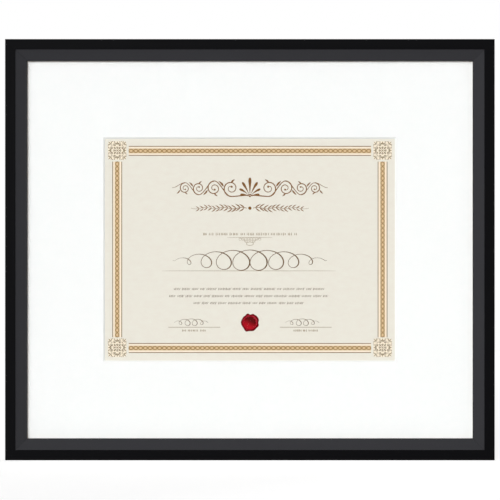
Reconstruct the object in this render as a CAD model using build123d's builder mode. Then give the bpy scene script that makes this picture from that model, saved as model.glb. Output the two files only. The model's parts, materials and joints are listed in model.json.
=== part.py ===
from build123d import *
from math import asin, atan2, cos, degrees, radians, sin
import os

os.makedirs("parts", exist_ok=True)

# A wall frame for a Letter-size certificate, in millimetres.
# X runs to the right as seen from the front, Z runs up and the front faces -Y.
# The origin is the centre of the whole frame's box.

# The document and what lies with it in the rabbet
document_width = 279.4
document_height = 215.9
document_thickness = 0.3
window_overlap = 4.76  # the mat covers this much of the document on each side
mat_border = 76.2
mat_thickness = 1.5
glazing_thickness = 2.0
mounting_board_thickness = 4.8
back_panel_thickness = 3.0
board_gap = 1.6  # between the edge of every board and the wall of the rabbet
panel_play = 0.26  # between the back panel and the back of the rails

# The moulding, as widths across its face and drops from its front
face_width = 20.2
rabbet_width = 5.6
cap_width = 9.6
cap_step = 0.8
slope_drop = 4.1
lip_edge = 3.0
cap_arris = 1.2
step_arris = 0.3
lip_round = 0.6
back_chamfer = 0.6

# Wedge nails across the mitres
nail_leg = 3.4
nail_gauge = 0.6
nail_height = 10.0
nail_recess = 0.3
nail_clearance = 0.05
nail_half_angle = 35
outer_nail_inset = 5.2
inner_nail_inset = 11.0

# Film pockets that hold the document by its corners
pocket_film = 0.12
pocket_gap = 0.1
pocket_setback = 0.6

# Wax seal on the document
seal_radius = 8.0
seal_thickness = 1.1
seal_height = 40.3  # from the document's lower edge to the seal's centre
seal_die_radius = 5.2
seal_die_depth = 0.45
# Lobes of the squeezed wax, one arc each: the angle and reach of the crease before it, then of its tip,
# with the reaches as shares of the seal's radius
seal_lobe_shares = ((1, 0.94, 38, 1.10), (86, 0.88, 105, 1.08), (124, 0.93, 170, 1.04),
                    (214, 0.94, 245, 1.15), (269, 0.94, 294, 1.0), (322, 0.94, 342, 1.03))

# Pan head screws
head_radius = 2.75
head_height = 1.9
shank_radius = 1.3
shank_length = 10.0
pilot_clearance = 0.05
recess_span = 3.1
recess_width = 0.8
recess_depth = 1.1

# Turn buttons that hold the back panel in
heel_radius = 4.6
tip_radius = 3.0
tip_reach = 12.0
button_thickness = 1.0
button_gap = 0.1
head_gap = 0.12
button_hole_clearance = 0.08
grip_rise = 1.8
# Places of the turn buttons, as shares of the panel's width and height from its middle
across_share = 0.26
upright_share = 0.17

# Strap hangers with a D-ring
ring_wire = 1.8
wire_sides = 8  # the round wire is drawn with this many flats
ring_span = 13.6
ring_leg = 5.0
ring_corner = 2.4
ring_rest_gap = 0.1
strap_gauge = 0.8
strap_slit = 0.12
strap_width = 8.0
strap_drop = 6.4  # from the ring's bar down to the screw
strap_fold = 0.6
strap_hole_clearance = 0.2
bar_clearance = 0.08
hanger_place_share = 0.55  # of a rail's back, in from its edge to the middle of the strap
hanger_height_share = 0.32  # of the frame's height, up from its middle

# Rubber bumpers
bumper_radius = 5.5
bumper_height = 4.5
bumper_inset = 28.0

# Sizes that follow
window_width = document_width - 2 * window_overlap
window_height = document_height - 2 * window_overlap
board_width = window_width + 2 * mat_border
board_height = window_height + 2 * mat_border
rail_back_width = face_width - rabbet_width
rabbet_opening_width = board_width + 2 * board_gap
rabbet_opening_height = board_height + 2 * board_gap
outer_width = rabbet_opening_width + 2 * rail_back_width
outer_height = rabbet_opening_height + 2 * rail_back_width

pocket_thickness = document_thickness + 2 * pocket_film
rabbet_depth = (glazing_thickness + mat_thickness + pocket_thickness
                + mounting_board_thickness + back_panel_thickness + panel_play)
moulding_depth = rabbet_depth + lip_edge + slope_drop + cap_step

# Places along Y, from the front to the back
front_y = -(moulding_depth + bumper_height) / 2
back_y = front_y + moulding_depth
lip_y = back_y - rabbet_depth
glazing_y = lip_y + glazing_thickness
mat_y = glazing_y + mat_thickness
pocket_y = mat_y + pocket_thickness
mounting_board_y = pocket_y + mounting_board_thickness
panel_y = mounting_board_y + back_panel_thickness
document_front_y = mat_y + pocket_film
document_back_y = pocket_y - pocket_film

forward = Vector(0, -1, 0)
backward = Vector(0, 1, 0)
rightward = Vector(1, 0, 0)
upward = Vector(0, 0, 1)

screw_inset = rail_back_width / 2  # the screws and bumpers stand in the middle of a rail's back
pilot_radius = shank_radius + pilot_clearance
pilot_depth = shank_length

# Turn buttons: name, place in X and Z, and the way the tip points
side_x = outer_width / 2 - screw_inset
side_z = outer_height / 2 - screw_inset
button_x = across_share * board_width
button_z = upright_share * board_height
turn_buttons = (
    ("turn_button_top_left", -button_x, side_z, -upward),
    ("turn_button_top_right", button_x, side_z, -upward),
    ("turn_button_bottom_left", -button_x, -side_z, upward),
    ("turn_button_bottom_right", button_x, -side_z, upward),
    ("turn_button_left_upper", -side_x, button_z, rightward),
    ("turn_button_left_lower", -side_x, -button_z, rightward),
    ("turn_button_right_upper", side_x, button_z, -rightward),
    ("turn_button_right_lower", side_x, -button_z, -rightward),
)

hanger_x = outer_width / 2 - hanger_place_share * rail_back_width
hanger_z = hanger_height_share * outer_height
hanger_screw_z = hanger_z - strap_drop
screw_places = [(x, z) for _, x, z, _ in turn_buttons]
hanger_screw_places = [(-hanger_x, hanger_screw_z), (hanger_x, hanger_screw_z)]
bumper_x = outer_width / 2 - bumper_inset


def layer(y):
    """The upright plane at this depth, with X to its right, Z up and its normal to the front."""
    return Plane.XZ.offset(-y)


def finish(piece, name):
    """Label a piece and write it."""
    piece.part.label = name
    export_step(piece.part, f"parts/{name}.step")


def nail_outlines(clearance):
    """Two V outlines across each mitre, one behind the other, their points towards the window."""
    lean = radians(nail_half_angle)
    half_gauge = nail_gauge / 2 + clearance
    leg = nail_leg + clearance
    fold = half_gauge / sin(lean)
    with BuildSketch(mode=Mode.PRIVATE) as outline:
        with BuildLine():
            Polyline(
                (-fold, 0),
                (leg * cos(lean) - half_gauge * sin(lean), leg * sin(lean) + half_gauge * cos(lean)),
                (leg * cos(lean) + half_gauge * sin(lean), leg * sin(lean) - half_gauge * cos(lean)),
                (fold, 0),
            )
            mirror(about=Plane.XZ)
        make_face()
    for left_or_right in (-1, 1):
        for down_or_up in (-1, 1):
            outward = degrees(atan2(down_or_up, left_or_right))
            for inset in (outer_nail_inset, inner_nail_inset):
                point = (left_or_right * (outer_width / 2 - inset), down_or_up * (outer_height / 2 - inset), 0)
                with Locations(Location(point, (0, 0, outward))):
                    add(outline.sketch)


def make_rail(name, inward, distance, length):
    """One side of the frame: the moulding's profile run along the side, mitred at both ends."""
    along = inward.cross(forward)
    back_edge = backward * back_y - inward * distance
    with BuildPart() as rail:
        with BuildSketch(Plane(origin=back_edge, x_dir=inward, z_dir=along)):
            with BuildLine():
                FilletPolyline(
                    (back_chamfer, 0),
                    (0, back_chamfer),
                    (0, moulding_depth),
                    (cap_width, moulding_depth),
                    (cap_width, moulding_depth - cap_step),
                    (face_width, rabbet_depth + lip_edge),
                    (face_width, rabbet_depth),
                    (rail_back_width, rabbet_depth),
                    (rail_back_width, 0),
                    radius=[0, 0, cap_arris, step_arris, 0, lip_round, 0, 0, 0],
                    close=True,
                )
            make_face()
        extrude(amount=length / 2, both=True)
        for end in (-1, 1):
            corner = back_edge + along * (end * length / 2)
            split(bisect_by=Plane(origin=corner, z_dir=-(inward + along * end)), keep=Keep.TOP)
        with BuildSketch(layer(back_y)):
            nail_outlines(nail_clearance)
        extrude(amount=nail_recess + nail_height + nail_clearance, mode=Mode.SUBTRACT)
        with BuildSketch(layer(back_y)):
            with Locations(*screw_places, *hanger_screw_places):
                Circle(pilot_radius)
        extrude(amount=pilot_depth, mode=Mode.SUBTRACT)
    finish(rail, name)


def make_slab(name, y, width, height, thickness):
    """A flat board that ends at this depth, centred in the frame."""
    with BuildPart() as slab:
        with BuildSketch(layer(y)):
            Rectangle(width, height)
        extrude(amount=thickness)
    finish(slab, name)


make_rail("rail_top", -upward, outer_height / 2, outer_width)
make_rail("rail_bottom", upward, outer_height / 2, outer_width)
make_rail("rail_left", rightward, outer_width / 2, outer_height)
make_rail("rail_right", -rightward, outer_width / 2, outer_height)

with BuildPart() as v_nails:
    with BuildSketch(layer(back_y - nail_recess)):
        nail_outlines(0)
    extrude(amount=nail_height)
finish(v_nails, "v_nails")

make_slab("glazing", glazing_y, board_width, board_height, glazing_thickness)
make_slab("certificate", document_back_y, document_width, document_height, document_thickness)
make_slab("mounting_board", mounting_board_y, board_width, board_height, mounting_board_thickness)
make_slab("back_panel", panel_y, board_width, board_height, back_panel_thickness)

# The mat's window is cut with its edge at 45 degrees, so the cut is wider in front by the board's thickness
with BuildPart() as mat_board:
    with BuildSketch(layer(mat_y)):
        Rectangle(board_width, board_height)
    extrude(amount=mat_thickness)
    with BuildSketch(layer(mat_y)):
        Rectangle(window_width, window_height)
    with BuildSketch(layer(glazing_y)):
        Rectangle(window_width + 2 * mat_thickness, window_height + 2 * mat_thickness)
    loft(mode=Mode.SUBTRACT)
finish(mat_board, "mat_board")

# Each pocket is a folded triangle of film: two faces, and a wall along each edge of the document
pocket_margin = pocket_gap + pocket_film
pocket_leg = 2 * (window_overlap + pocket_margin) - pocket_setback
with BuildPart() as corner_pockets:
    with BuildSketch(layer(pocket_y)):
        for left_or_right in (-1, 1):
            for down_or_up in (-1, 1):
                corner_x = left_or_right * (document_width / 2 + pocket_margin)
                corner_z = down_or_up * (document_height / 2 + pocket_margin)
                with BuildLine():
                    Polyline(
                        (corner_x, corner_z),
                        (corner_x - left_or_right * pocket_leg, corner_z),
                        (corner_x, corner_z - down_or_up * pocket_leg),
                        close=True,
                    )
                make_face()
    extrude(amount=pocket_thickness)
    with BuildSketch(layer(document_back_y)):
        Rectangle(document_width + 2 * pocket_gap, document_height + 2 * pocket_gap)
    extrude(amount=document_thickness, mode=Mode.SUBTRACT)
finish(corner_pockets, "corner_pockets")

# Wax squeezed out in lobes round the mark of a plain round die
seal_z = seal_height - document_height / 2


def seal_point(angle, reach_share):
    """A point of the seal's edge, at this angle and share of its radius."""
    reach = reach_share * seal_radius
    return (reach * cos(radians(angle)), seal_z + reach * sin(radians(angle)))


with BuildPart() as wax_seal:
    with BuildSketch(layer(document_front_y)):
        with BuildLine():
            for lobe, (crease_angle, crease_share, tip_angle, tip_share) in enumerate(seal_lobe_shares):
                next_angle, next_share = seal_lobe_shares[(lobe + 1) % len(seal_lobe_shares)][:2]
                ThreePointArc(
                    seal_point(crease_angle, crease_share),
                    seal_point(tip_angle, tip_share),
                    seal_point(next_angle, next_share),
                )
        make_face()
    extrude(amount=seal_thickness)
    with BuildSketch(layer(document_front_y - seal_thickness)):
        with Locations((0, seal_z)):
            Circle(seal_die_radius)
    extrude(amount=-seal_die_depth, mode=Mode.SUBTRACT)
finish(wax_seal, "wax_seal")

# The screw stands on its own origin, its head to the back, and copies of it go to each place
with BuildPart() as pan_screw:
    with BuildSketch(Plane.XY):
        with BuildLine():
            Polyline(
                (0, head_height),
                (0, -shank_length),
                (shank_radius, -shank_length),
                (shank_radius, 0),
                (head_radius, 0),
                (head_radius, head_height),
                close=True,
            )
        make_face()
    revolve(axis=Axis.Y)
    with BuildSketch(layer(head_height)):
        for turn in (0, 90):
            Rectangle(recess_span, recess_width, rotation=turn)
    extrude(amount=recess_depth, mode=Mode.SUBTRACT)

button_seat_y = back_y + button_gap
with BuildPart() as turn_button_screws:
    with Locations(*[(x, button_seat_y + button_thickness + head_gap, z) for x, z in screw_places]):
        add(pan_screw.part)
finish(turn_button_screws, "turn_button_screws")

strap_stack = 2 * strap_gauge + strap_slit
with BuildPart() as hanger_screws:
    with Locations(*[(x, back_y + strap_stack, z) for x, z in hanger_screw_places]):
        add(pan_screw.part)
finish(hanger_screws, "hanger_screws")


def make_turn_button(name, x, z, inward):
    """A stamped teardrop of steel that turns on its screw, its tip bent up as a finger grip."""
    seat = Vector(x, button_seat_y, z)
    bend = tip_reach - tip_radius
    grip_end = tip_reach + tip_radius
    with BuildPart() as button:
        with BuildSketch(Plane(origin=seat, x_dir=inward, z_dir=inward.cross(backward))):
            with BuildLine():
                Polyline(
                    (-heel_radius, 0),
                    (bend, 0),
                    (grip_end, grip_rise),
                    (grip_end, grip_rise + button_thickness),
                    (bend, button_thickness),
                    (-heel_radius, button_thickness),
                    close=True,
                )
            make_face()
        extrude(amount=heel_radius, both=True)
        plan = Plane(origin=seat, x_dir=inward, z_dir=backward)
        with BuildSketch(plan):
            Circle(heel_radius)
            with Locations((tip_reach, 0)):
                Circle(tip_radius)
            make_hull()
        extrude(amount=grip_end, both=True, mode=Mode.INTERSECT)
        with BuildSketch(plan):
            Circle(shank_radius + button_hole_clearance)
        extrude(amount=grip_end, both=True, mode=Mode.SUBTRACT)
    finish(button, name)


for turn_button in turn_buttons:
    make_turn_button(*turn_button)

bar_radius = ring_wire / 2
bore_radius = bar_radius + bar_clearance
barrel_radius = bore_radius + strap_gauge
ring_height = ring_leg + ring_span / 2
ring_lean = asin((barrel_radius - bar_radius - ring_rest_gap) / ring_height)


def make_strap(name, x):
    """A strip of steel folded round the ring's bar, its two leaves under one screw."""
    bar = Vector(x, back_y + barrel_radius, hanger_z)
    strap_length = strap_drop + strap_width / 2
    inner_face = strap_gauge - barrel_radius
    with BuildPart() as strap:
        with BuildSketch(Plane(origin=bar, x_dir=backward, z_dir=rightward)) as fold:
            Circle(barrel_radius)
            with Locations((-barrel_radius, 0)):
                Rectangle(strap_stack, strap_length, align=(Align.MIN, Align.MAX))
            notch = fold.vertices().sort_by_distance((strap_stack - barrel_radius, -barrel_radius))[0]
            fillet(notch, strap_fold)
            Circle(bore_radius, mode=Mode.SUBTRACT)
            with Locations((inner_face, 0)):
                Rectangle(strap_slit, strap_length, align=(Align.MIN, Align.MAX), mode=Mode.SUBTRACT)
        extrude(amount=strap_width / 2, both=True)
        with BuildSketch(layer(back_y)):
            with Locations((x, hanger_screw_z)):
                Circle(strap_width / 2)
                Rectangle(strap_width, strap_drop + barrel_radius, align=(Align.CENTER, Align.MIN))
        extrude(amount=2 * barrel_radius, both=True, mode=Mode.INTERSECT)
        with BuildSketch(layer(back_y)):
            with Locations((x, hanger_screw_z)):
                Circle(shank_radius + strap_hole_clearance)
        extrude(amount=2 * barrel_radius, both=True, mode=Mode.SUBTRACT)
    finish(strap, name)


def make_ring(name, x):
    """A D of round wire, raised and leaning on the rail, its straight bar in the strap's fold."""
    bar = Vector(x, back_y + barrel_radius, hanger_z)
    leaning_up = upward * cos(ring_lean) + forward * sin(ring_lean)
    half_span = ring_span / 2
    bar_end = half_span - ring_corner
    with BuildPart() as ring:
        with BuildLine(Plane(origin=bar, x_dir=rightward, z_dir=rightward.cross(leaning_up))):
            Line((-bar_end, 0), (bar_end, 0))
            CenterArc((bar_end, ring_corner), ring_corner, -90, 90)
            Line((half_span, ring_corner), (half_span, ring_leg))
            CenterArc((0, ring_leg), half_span, 0, 180)
            Line((-half_span, ring_leg), (-half_span, ring_corner))
            CenterArc((-bar_end, ring_corner), ring_corner, 180, 90)
        with BuildSketch(Plane(origin=bar - rightward * bar_end, x_dir=leaning_up, z_dir=rightward)):
            RegularPolygon(bar_radius, wire_sides)
        sweep(transition=Transition.RIGHT)
    finish(ring, name)


for side, x in (("left", -hanger_x), ("right", hanger_x)):
    make_strap(f"hanger_strap_{side}", x)
    make_ring(f"hanger_ring_{side}", x)

for side, x in (("left", -bumper_x), ("right", bumper_x)):
    with BuildPart() as bumper:
        with BuildSketch(layer(back_y)):
            with Locations((x, -side_z)):
                Circle(bumper_radius)
        extrude(amount=-bumper_height)
    finish(bumper, f"bumper_{side}")

print(f"outer {outer_width:.2f} x {outer_height:.2f} x {moulding_depth:.2f}, rabbet {rabbet_depth:.2f} deep")
print(f"back of the rails at y {back_y:.3f}, bumpers to {back_y + bumper_height:.3f}")
print(f"hanger bars at x {hanger_x:.3f}, y {back_y + barrel_radius:.3f}, z {hanger_z:.3f}")
print(f"ring height {ring_height:.2f}, lean {degrees(ring_lean):.3f} degrees")
for name, x, z, _ in turn_buttons:
    print(f"{name} at x {x:.3f}, y {button_seat_y:.3f}, z {z:.3f}")
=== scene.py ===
import json
import bmesh
import bpy
import numpy as np
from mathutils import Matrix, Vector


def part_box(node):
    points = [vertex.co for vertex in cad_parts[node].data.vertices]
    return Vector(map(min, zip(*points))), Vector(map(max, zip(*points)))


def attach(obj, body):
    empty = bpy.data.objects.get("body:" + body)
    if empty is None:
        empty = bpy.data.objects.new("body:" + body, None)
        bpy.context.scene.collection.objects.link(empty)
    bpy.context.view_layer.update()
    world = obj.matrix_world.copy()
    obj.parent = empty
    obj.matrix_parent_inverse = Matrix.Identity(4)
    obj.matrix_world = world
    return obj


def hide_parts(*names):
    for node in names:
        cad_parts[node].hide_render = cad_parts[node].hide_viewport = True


# A black and charcoal certificate frame: the looks of every part, worked in millimetres and written in
# metres. X is to the right, Z is up and the front faces -Y. The frame's centre is at the origin.

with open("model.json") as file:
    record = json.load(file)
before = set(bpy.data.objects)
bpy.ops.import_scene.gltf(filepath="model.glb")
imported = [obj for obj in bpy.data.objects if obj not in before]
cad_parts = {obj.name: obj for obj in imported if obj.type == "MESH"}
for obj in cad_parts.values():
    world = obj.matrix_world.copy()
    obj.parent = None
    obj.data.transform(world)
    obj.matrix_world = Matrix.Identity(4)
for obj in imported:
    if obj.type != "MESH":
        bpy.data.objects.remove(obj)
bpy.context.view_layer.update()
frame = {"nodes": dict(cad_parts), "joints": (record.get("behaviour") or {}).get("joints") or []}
nodes = frame["nodes"]
joints = {joint["name"]: joint for joint in frame["joints"]}
mm = 0.001
turn = 2 * np.pi


def nodeBox(name):
    # lowest and highest corner of one construction part, in millimetres
    low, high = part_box(name)
    return np.array(low) / mm, np.array(high) / mm


outerHalfWidth = nodeBox("rail_right")[1][0]
outerHalfHeight = nodeBox("rail_top")[1][2]
frontY, backY = (corner[1] for corner in nodeBox("rail_top"))
glassFrontY = nodeBox("glazing")[0][1]
paperFrontY = nodeBox("certificate")[0][1]

# The window is the part of the sheet that the mat leaves open
matOverlap = 4.76
sheetHalfWidth, _, sheetHalfHeight = nodeBox("certificate")[1]
windowHalfWidth = round(sheetHalfWidth - matOverlap, 2)
windowHalfHeight = round(sheetHalfHeight - matOverlap, 2)


# Nodes and colours

def linear(hexColour):
    # an sRGB hex colour as the linear colour that a shader takes
    srgb = np.array([int(hexColour[i:i + 2], 16) for i in (1, 3, 5)]) / 255
    light = np.where(srgb <= 0.04045, srgb / 12.92, ((srgb + 0.055) / 1.055) ** 2.4)
    return [float(value) for value in light] + [1.0]


def addNode(holder, kind, inputs=None, out=0, **settings):
    # one node of a material or world: settings are its properties, and inputs are numbers, hex colours or
    # other nodes' sockets; it gives back the output that out names or numbers, or all where out is None
    made = holder.node_tree.nodes.new("ShaderNode" + kind)
    for key, value in settings.items():
        setattr(made, key, value)
    for key, value in (inputs or {}).items():
        if isinstance(value, bpy.types.NodeSocket):
            holder.node_tree.links.new(value, made.inputs[key])
        else:
            made.inputs[key].default_value = linear(value) if isinstance(value, str) else value
    return made.outputs if out is None else made.outputs[out]


colourMix = dict(out=2, data_type="RGBA")  # makes a Mix node blend two colours, its inputs 6 and 7


def lead(holder, node, sockets):
    # outputs of other nodes lead into this node's inputs of the given names
    for key, socket in sockets.items():
        holder.node_tree.links.new(socket, node.inputs[key])


def newMaterial(name, **sockets):
    # a material and its Principled shader, with plain values on the shader's own sockets
    material = bpy.data.materials.new(name)
    material.use_nodes = True
    shader = material.node_tree.nodes["Principled BSDF"]
    for key, value in sockets.items():
        shader.inputs[key.replace("_", " ")].default_value = value
    return material, shader


def swapShader(material, surface):
    # another surface takes the place of the Principled shader
    tree = material.node_tree
    tree.nodes.remove(tree.nodes["Principled BSDF"])
    lead(material, tree.nodes["Material Output"], {"Surface": surface})


def patternAt(material, size, detail=3.0, offset=0.0):
    # soft noise on Object coordinates, spread over 0 to 1; size is the length of its blobs in millimetres,
    # one number or three along X, Y and Z
    place = addNode(material, "TexCoord", out="Object")
    scale = [1 / (length * mm) for length in np.broadcast_to(size, 3)]
    place = addNode(material, "Mapping", {"Vector": place, "Location": [offset] * 3, "Scale": scale})
    noise = {"Vector": place, "Scale": 1.0, "Detail": detail, "Roughness": 0.6}
    return addNode(material, "MapRange", {0: addNode(material, "TexNoise", noise), 1: 0.3, 2: 0.7})


def makeFinish(name, tones, roughness, patch, grain, relief, mottle=None, metallic=0.0, gloss=0.5):
    # two tones in soft patches, over broad clouds where mottle is given, and a finer grain that varies the
    # sheen and stands up as relief; patch, mottle, grain and relief are lengths in millimetres
    material, shader = newMaterial(name, Metallic=metallic, Specular_IOR_Level=gloss)
    spread = patternAt(material, patch)
    if mottle:
        clouds = patternAt(material, mottle, offset=5.1)
        spread = addNode(material, "Mix", {0: 0.4, 2: spread, 3: clouds})
    fine = patternAt(material, grain, offset=3.7)
    colour = addNode(material, "Mix", {0: spread, 6: tones[0], 7: tones[1]}, **colourMix)
    rough = addNode(material, "MapRange", {0: fine, 3: roughness[0], 4: roughness[1]})
    bump = addNode(material, "Bump", {"Height": fine, "Distance": relief * mm, "Strength": 1.0})
    lead(material, shader, {"Base Color": colour, "Roughness": rough, "Normal": bump})
    return material


def dress(name, material):
    # a construction part keeps its shape and gets its finish
    holder = nodes[name]
    holder.data.materials.clear()
    holder.data.materials.append(material)


# Surfaces

def gridFaces(rows, columns, closedRows=False):
    # four-cornered faces between the points of a grid: every row is a closed ring, joined to the next one,
    # and the last to the first where the rows are closed too
    index = np.arange(rows * columns).reshape(rows, columns)
    below, beside, opposite = (np.roll(index, shift, (0, 1)) for shift in ((-1, 0), (0, -1), (-1, -1)))
    quads = np.stack([index, below, opposite, beside], -1)
    return (quads if closedRows else quads[:-1]).reshape(-1, 4)


def shell(points, closedRows=False):
    # a closed skin from a grid of points: each row is a ring, and open ends shrink to their ring's middle
    if not closedRows:
        first, last = (np.broadcast_to(row.mean(0), row.shape)[None] for row in (points[0], points[-1]))
        points = np.concatenate([first, points, last])
    return points.reshape(-1, 3), gridFaces(*points.shape[:2], closedRows)


def addObject(name, data):
    # an object in the scene for a mesh, a lamp or a camera
    holder = bpy.data.objects.new(name, data)
    bpy.context.scene.collection.objects.link(holder)
    return holder


merging = dict(sameWithin=0.0005, leastEdge=0.0002)  # millimetres: nearer points join, shorter edges go


def makePiece(name, shells, material, body, sharpAngle=40.0):
    # the shells become one mesh in metres, with doubled points merged, normals outwards and edges sharp
    # past an angle; the piece rides on a body and takes the given material
    starts = np.cumsum([0] + [len(points) for points, faces in shells[:-1]])
    points = np.concatenate([points for points, faces in shells]) * mm
    faces = np.concatenate([faces + start for (_, faces), start in zip(shells, starts)])
    mesh = bpy.data.meshes.new(name)
    mesh.from_pydata(points, [], faces, shade_flat=False)
    work = bmesh.new()
    work.from_mesh(mesh)
    bmesh.ops.remove_doubles(work, verts=work.verts, dist=merging["sameWithin"] * mm)
    bmesh.ops.dissolve_degenerate(work, edges=work.edges, dist=merging["leastEdge"] * mm)
    bmesh.ops.recalc_face_normals(work, faces=work.faces)
    work.to_mesh(mesh)
    work.free()
    mesh.set_sharp_from_angle(angle=np.radians(sharpAngle))
    mesh.materials.append(material)
    piece = addObject(name, mesh)
    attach(piece, body)
    return piece


def revolve(profile, sides=48):
    # a profile of (radius, height) pairs turned round the Y axis; height runs backwards, along +Y
    radius, height = np.array(profile, float).T
    angle = np.linspace(0, turn, sides, endpoint=False)
    ring = np.stack([np.cos(angle), np.zeros(sides), np.sin(angle)], -1)
    return radius[:, None, None] * ring + height[:, None, None] * np.array([0, 1, 0])


def arc(centre, radius, start, end, steps):
    # points along an arc of a flat path, from one angle to another in degrees
    angle = np.radians(np.linspace(start, end, steps))
    return np.stack([centre[0] + radius * np.cos(angle), centre[1] + radius * np.sin(angle)], -1)


def leftOf(path, closed=False):
    # at each point of a flat path, the unit vector square to it, on the left of its run
    along = np.roll(path, -1, 0) - np.roll(path, 1, 0) if closed else np.gradient(path, axis=0)
    along /= np.maximum(np.linalg.norm(along, axis=1, keepdims=True), 1e-9)
    return np.stack([-along[:, 1], along[:, 0]], -1)


def turned(shells, degrees):
    # shells spun about the Y axis, from +X towards +Z
    cosine, sine = np.cos(np.radians(degrees)), np.sin(np.radians(degrees))
    spin = np.array([[cosine, 0, -sine], [0, 1, 0], [sine, 0, cosine]])
    return [(points @ spin.T, faces) for points, faces in shells]


def moved(shells, x, z, y=0.0):
    # shells drawn about their own middle, set in place
    return [(points + np.array([x, y, z]), faces) for points, faces in shells]


def mirrored(shells):
    # the same shells again on the other side of the upright middle line
    flip = np.array([-1, 1, 1])
    return shells + [(points * flip, faces[:, ::-1]) for points, faces in shells]


# The moulding: four rails of poplar under lacquer, black on the cap and charcoal on the slope

lacquer = dict(capWidth=9.6, capMargin=0.02, backMargin=0.03, cap="#040406", slope="#363639",
               mitre="#0A0A0B", mitreGap=0.06, bareWood="#C9AE84", bareStreak="#A98A5F", mistSize=0.5,
               mistReach=1.2, sprayFade=(1.3, 2.8), grainLength=70.0, grainWidth=0.9, grainRelief=0.012,
               sheen=(0.40, 0.46), bareRoughness=0.8)


def makeMoulding(name, grainAlong):
    # sprayed satin lacquer over sanded poplar: dead even colour in front, a faint grain in the sheen, and
    # bare wood behind with a feathered edge of overspray; grainAlong is the axis that the rail runs along
    material, shader = newMaterial(name, Specular_IOR_Level=0.02)
    size = [lacquer["grainWidth"]] * 3
    size[grainAlong] = lacquer["grainLength"]
    grain = patternAt(material, size, detail=4.0)
    broad = patternAt(material, [part * 4 for part in size], offset=1.3)
    mist = patternAt(material, lacquer["mistSize"], detail=2.0)

    # how far in from the frame's outer edge, which tells cap from slope, and where two rails meet
    capEdge, mitreGap = lacquer["capWidth"] + lacquer["capMargin"], lacquer["mitreGap"]
    axes = addNode(material, "SeparateXYZ", {0: addNode(material, "TexCoord", out="Object")}, out=None)
    sideways = addNode(material, "Math", {0: axes[0]}, operation="ABSOLUTE")
    upright = addNode(material, "Math", {0: axes[2]}, operation="ABSOLUTE")
    across = addNode(material, "Math", {0: outerHalfWidth * mm, 1: sideways}, operation="SUBTRACT")
    down = addNode(material, "Math", {0: outerHalfHeight * mm, 1: upright}, operation="SUBTRACT")
    inset = addNode(material, "Math", {0: across, 1: down}, operation="MINIMUM")
    onCap = addNode(material, "Math", {0: inset, 1: capEdge * mm}, operation="LESS_THAN")
    skew = addNode(material, "Math", {0: across, 1: down}, operation="SUBTRACT")
    skew = addNode(material, "Math", {0: skew}, operation="ABSOLUTE")
    onMitre = addNode(material, "Math", {0: skew, 1: mitreGap * mm}, operation="LESS_THAN")

    # bare where the part faces the wall or the boards, past the reach of the spray
    backEdge, mistReach = glassFrontY - lacquer["backMargin"], lacquer["mistReach"]
    fadeStart, fadeEnd = lacquer["sprayFade"]
    behind = addNode(material, "Math", {0: axes[1], 1: backEdge * mm}, operation="GREATER_THAN")
    spray = addNode(material, "Math", {0: mist, 1: mistReach * mm, 2: inset}, operation="MULTIPLY_ADD")
    faded = addNode(material, "MapRange", {0: spray, 1: fadeStart * mm, 2: fadeEnd * mm})
    bare = addNode(material, "Math", {0: behind, 1: faded}, operation="MULTIPLY")

    streak = addNode(material, "Mix", {0: 0.5, 2: grain, 3: broad})
    woodTones = {0: streak, 6: lacquer["bareStreak"], 7: lacquer["bareWood"]}
    wood = addNode(material, "Mix", woodTones, **colourMix)
    colour = addNode(material, "Mix", {0: onCap, 6: lacquer["slope"], 7: lacquer["cap"]}, **colourMix)
    colour = addNode(material, "Mix", {0: bare, 6: colour, 7: wood}, **colourMix)
    colour = addNode(material, "Mix", {0: onMitre, 6: colour, 7: lacquer["mitre"]}, **colourMix)
    sheen = addNode(material, "MapRange", {0: grain, 3: lacquer["sheen"][0], 4: lacquer["sheen"][1]})
    rough = addNode(material, "Mix", {0: bare, 2: sheen, 3: lacquer["bareRoughness"]})
    relief = lacquer["grainRelief"] * mm
    bump = addNode(material, "Bump", {"Height": grain, "Distance": relief, "Strength": 0.6})
    lead(material, shader, {"Base Color": colour, "Roughness": rough, "Normal": bump})
    return material


for run, grainAxis, sides in (("Lying", 0, ("top", "bottom")), ("Standing", 2, ("left", "right"))):
    railFinish = makeMoulding("satinLacquerOnPoplar" + run, grainAxis)
    for side in sides:
        dress("rail_" + side, railFinish)
# cut strip, not plated: a grey that handling has dulled, with streaks of rolling along the nail
dress("v_nails", makeFinish("bareSheetSteel", tones=("#6F6E6E", "#57534F"), metallic=1.0,
                            roughness=(0.35, 0.55), patch=1.5, grain=(0.15, 4.0, 0.15), relief=0.004))
print("moulding done")


# Glass, mat, boards and the sheet

def makeClear(name, tint, fresnelIor, roughness):
    # a clear sheet that lets light straight through, with a weak reflection that grows at a slant; only the
    # face that the light enters by reflects, so nothing is caught inside the sheet
    material, _ = newMaterial(name)
    through = addNode(material, "BsdfTransparent", {"Color": tint})
    gloss = addNode(material, "BsdfAnisotropic", {"Color": "#FFFFFF", "Roughness": roughness})
    share = addNode(material, "Fresnel", {"IOR": fresnelIor})
    leaving = addNode(material, "NewGeometry", out="Backfacing")
    entering = addNode(material, "Math", {0: 1.0, 1: leaving}, operation="SUBTRACT")
    share = addNode(material, "Math", {0: share, 1: entering}, operation="MULTIPLY")
    swapShader(material, addNode(material, "MixShader", {0: share, 1: through, 2: gloss}))
    return material


# float glass under an anti-reflection coating: all but unseen from the front
dress("glazing", makeClear("coatedPictureGlass", "#FFFFFF", fresnelIor=1.08, roughness=0.02))
# thin extruded film: a softer shine than glass, and a breath of grey
dress("corner_pockets", makeClear("polyesterFilm", "#FBFCFC", fresnelIor=1.2, roughness=0.15))
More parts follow.
